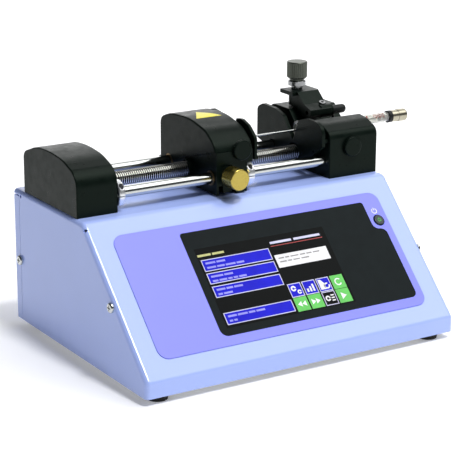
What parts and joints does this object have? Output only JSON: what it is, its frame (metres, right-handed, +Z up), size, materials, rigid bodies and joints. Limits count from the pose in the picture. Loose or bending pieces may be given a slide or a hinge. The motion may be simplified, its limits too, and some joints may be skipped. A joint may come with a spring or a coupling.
{
  "type": "syringe pump",
  "caption": "Bench syringe pump: a sloped steel case with a touch panel, and a lead screw drive on its deck that pushes the plunger of a clamped glass syringe.",
  "frame": {"origin": "middle of the whole pump in plan, on the surface that its feet stand on", "axes": "+X to the right along the syringe and the lead screw, +Y from the front panel to the rear, +Z up"},
  "size_m": [0.2744, 0.1734, 0.1598],
  "materials": {
    "blue_enamel": "satin powder coat",
    "zinc_plate": "plated",
    "rubber": "matte",
    "chrome": "polished",
    "overlay_film": "satin film",
    "dark_glass": "gloss",
    "display_metal": "satin",
    "button_plastic": "satin",
    "black_plastic": "matte",
    "green_board": "satin",
    "black_anodised": "satin black anodised",
    "aluminium": "machined",
    "bronze": "sintered",
    "brass": "turned",
    "screw_steel": "oiled",
    "knob_steel": "satin",
    "belt_rubber": "matte",
    "syringe_glass": "clear",
    "syringe_metal": "nickel",
    "white_seal": "smooth",
    "black_screw": "black oxide"
  },
  "bodies": {
    "root": {"case_shell": "blue_enamel", "base_plate": "zinc_plate", "rear_panel": "blue_enamel", "side_screws": "chrome", "rubber_feet": "rubber", "foot_screws": "zinc_plate", "front_overlay": "overlay_film", "touch_glass": "dark_glass", "lcd_module": "display_metal", "button_switch": "black_plastic", "main_board": "green_board", "board_posts": "zinc_plate", "board_parts": "black_plastic", "switch_frame": "black_plastic", "power_inlet": "black_plastic", "usb_socket": "display_metal", "network_sockets": "black_plastic", "control_socket": "display_metal", "drive_cover": "black_anodised", "drive_frame": "aluminium", "screw_bearings": "bronze", "timing_belt": "belt_rubber", "motor_body": "black_plastic", "motor_bracket": "zinc_plate", "guide_rod_front": "chrome", "guide_rod_rear": "chrome", "stop_collar_left": "chrome", "stop_collar_right": "chrome", "collar_screws": "black_screw", "holder_block": "black_anodised", "drive_screws": "zinc_plate", "clamp_post": "chrome", "syringe_barrel": "syringe_glass", "syringe_ring": "black_plastic", "syringe_tip": "syringe_metal"},
    "lead_screw": {"lead_screw": "screw_steel", "screw_pulley": "aluminium"},
    "motor_rotor": {"motor_shaft": "chrome", "motor_pulley": "aluminium"},
    "pusher": {"pusher_cover": "black_anodised", "pusher_block": "black_anodised", "pusher_bushings": "bronze", "release_spring": "chrome"},
    "release": {"release_knob": "brass", "release_yoke": "black_anodised", "half_nut": "bronze"},
    "pusher_plate": {"pusher_retainer": "black_anodised"},
    "pusher_lock": {"pusher_thumbscrew": "black_plastic"},
    "plunger": {"plunger": "chrome", "plunger_seal": "white_seal"},
    "holder_plate": {"holder_retainer": "black_anodised"},
    "holder_lock": {"holder_thumbscrew": "black_plastic"},
    "clamp_arm": {"clamp_bracket": "black_anodised", "clamp_bar": "black_plastic", "clamp_foot": "chrome", "clamp_screw": "chrome"},
    "clamp_knob": {"clamp_knob": "knob_steel", "clamp_nut": "chrome"},
    "power_button": {"power_button": "button_plastic"},
    "rocker": {"switch_rocker": "black_plastic"}
  },
  "joints": [
    {"name": "screw_spin", "type": "hinge", "parent": "root", "child": "lead_screw", "pos_m": [-0.0354, 0.0313, 0.1038], "axis": [1, 0, 0], "continuous": true},
    {"name": "motor_spin", "type": "hinge", "parent": "root", "child": "motor_rotor", "pos_m": [-0.0954, 0.0313, 0.0505], "axis": [1, 0, 0], "continuous": true},
    {"name": "pusher_slide", "type": "slide", "parent": "root", "child": "pusher", "axis": [1, 0, 0], "range_m": [-0.06, 0]},
    {"name": "plunger_slide", "type": "slide", "parent": "root", "child": "plunger", "axis": [1, 0, 0], "range_m": [-0.06, 0]},
    {"name": "release_push", "type": "slide", "parent": "pusher", "child": "release", "axis": [0, 1, 0], "range_m": [0, 0.0018], "stiffness_N_per_m": 400, "springref_m": -0.0005, "deforming": ["release_spring"]},
    {"name": "pusher_plate_slide", "type": "slide", "parent": "pusher", "child": "pusher_plate", "axis": [1, 0, 0], "range_m": [0, 0.003]},
    {"name": "pusher_lock_turn", "type": "hinge", "parent": "pusher", "child": "pusher_lock", "pos_m": [-0.0174, -0.0037, 0.1204], "axis": [0, -1, 0], "range_deg": [0, 180]},
    {"name": "holder_plate_slide", "type": "slide", "parent": "root", "child": "holder_plate", "axis": [-1, 0, 0], "range_m": [0, 0.003]},
    {"name": "holder_lock_turn", "type": "hinge", "parent": "root", "child": "holder_lock", "pos_m": [0.0682, -0.0037, 0.1118], "axis": [0, -1, 0], "range_deg": [0, 180]},
    {"name": "clamp_lift", "type": "slide", "parent": "root", "child": "clamp_arm", "axis": [0, 0, 1], "range_m": [0, 0.014]},
    {"name": "clamp_knob_turn", "type": "hinge", "parent": "clamp_arm", "child": "clamp_knob", "pos_m": [0.0618, 0.0533, 0.1518], "axis": [0, 0, 1], "range_deg": [0, 360]},
    {"name": "power_press", "type": "slide", "parent": "root", "child": "power_button", "axis": [0, 0.7071, -0.7071], "range_m": [0, 0.0008], "stiffness_N_per_m": 500, "springref_m": -0.0002},
    {"name": "rocker_tip", "type": "hinge", "parent": "root", "child": "rocker", "pos_m": [-0.0979, 0.0817, 0.036], "axis": [1, 0, 0], "range_deg": [-16, 0]}
  ],
  "couplings": [
    {"joint": "motor_spin", "follows": "screw_spin", "ratio": 2},
    {"joint": "plunger_slide", "follows": "pusher_slide", "ratio": 1}
  ]
}
